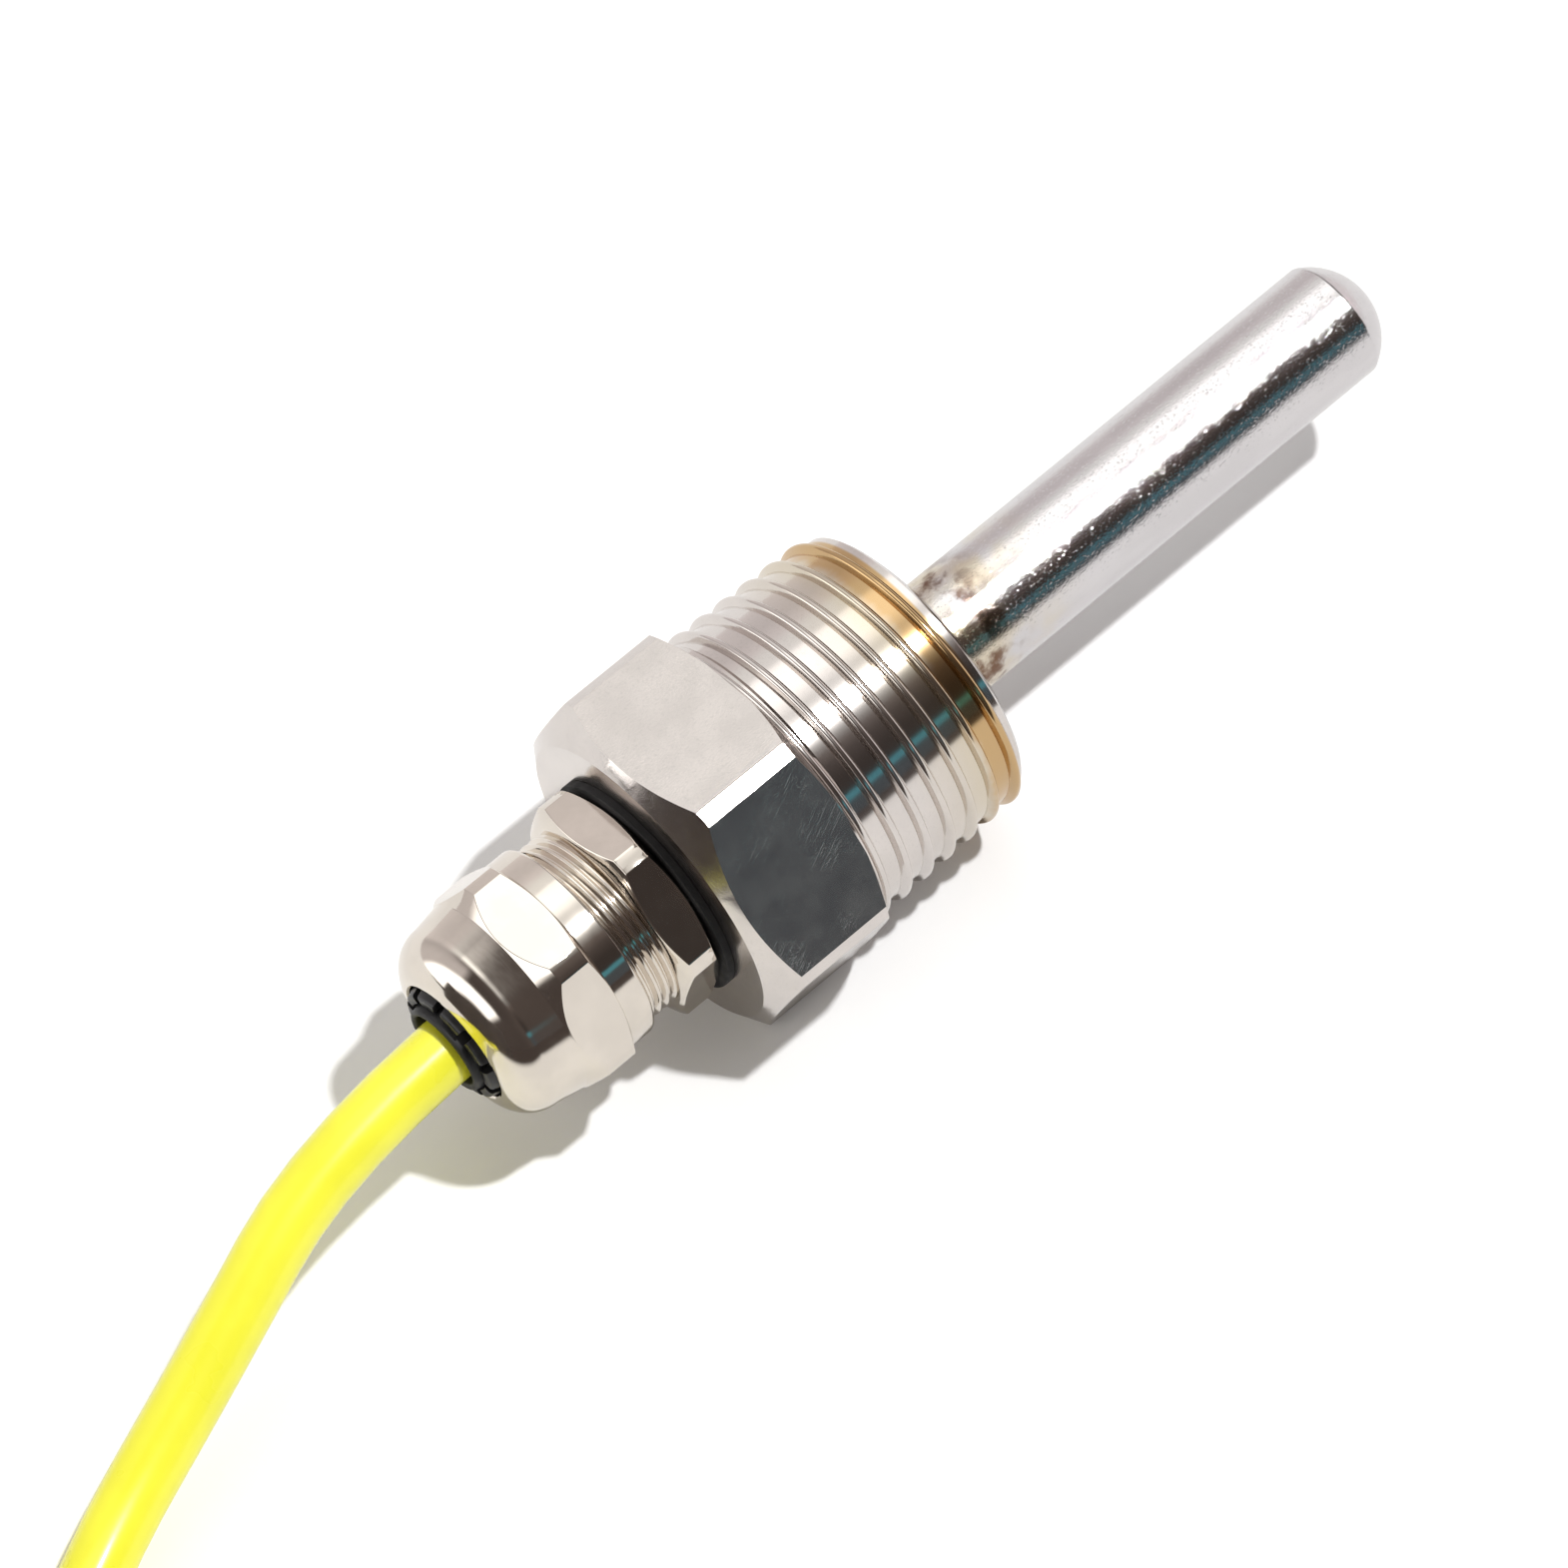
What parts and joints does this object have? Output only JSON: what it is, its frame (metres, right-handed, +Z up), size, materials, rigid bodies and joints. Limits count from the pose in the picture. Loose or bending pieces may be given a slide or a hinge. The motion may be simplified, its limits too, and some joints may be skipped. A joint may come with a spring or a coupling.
{
  "type": "thermocouple probe",
  "caption": "Straight metal temperature probe with a domed sheath, a hexagon taper-threaded process fitting and a cable gland, on a yellow lead tied in a hank.",
  "frame": {"origin": "on the floor under the middle of the probe, whose length runs from the mouth of the dome nut to the tip", "axes": "+X along the probe toward its tip, +Z up, with one flat of the large hexagon on the floor"},
  "size_m": [0.2357, 0.0388, 0.026],
  "materials": {
    "stainless": "turned",
    "nickel": "nickel plated",
    "black_rubber": "matte",
    "black_plastic": "moulded",
    "yellow_jacket": "extruded",
    "black_sleeve": "shrunk",
    "yellow_core": "extruded",
    "red_core": "extruded",
    "tinned": "tinned",
    "element_alloy": "drawn",
    "ceramic": "unglazed",
    "resin": "cast"
  },
  "bodies": {
    "probe": {"process_fitting": "stainless", "probe_sheath": "stainless", "weld_bead": "stainless", "hot_junction": "element_alloy", "wire_positive": "element_alloy", "lead_positive": "yellow_core", "crimp_positive": "tinned", "wire_negative": "element_alloy", "lead_negative": "red_core", "crimp_negative": "tinned", "insulator": "ceramic", "tip_packing": "ceramic", "sealing_compound": "resin", "gland_gasket": "black_rubber", "gland_body": "nickel", "cable_entry": "yellow_jacket", "cable_run": "yellow_jacket", "cable_coil": "yellow_jacket", "coil_tie": "black_sleeve", "cable_end": "yellow_jacket", "end_sleeve": "black_sleeve", "tail_positive": "yellow_core", "ferrule_positive": "tinned", "tail_negative": "red_core", "ferrule_negative": "tinned"},
    "insert": {"clamp_cage": "black_plastic", "gland_seal": "black_rubber"},
    "nut": {"dome_nut": "nickel"}
  },
  "joints": [
    {"name": "insert_slide", "type": "slide", "parent": "probe", "child": "insert", "axis": [-1, 0, 0], "range_m": [0, 0.0038]},
    {"name": "nut_turn", "type": "hinge", "parent": "insert", "child": "nut", "pos_m": [-0.03225, 0, 0.011], "axis": [-1, 0, 0], "range_deg": [0, 1080]}
  ],
  "couplings": [
    {"joint": "insert_slide", "follows": "nut_turn", "m_per_rad": 0.00019894}
  ]
}
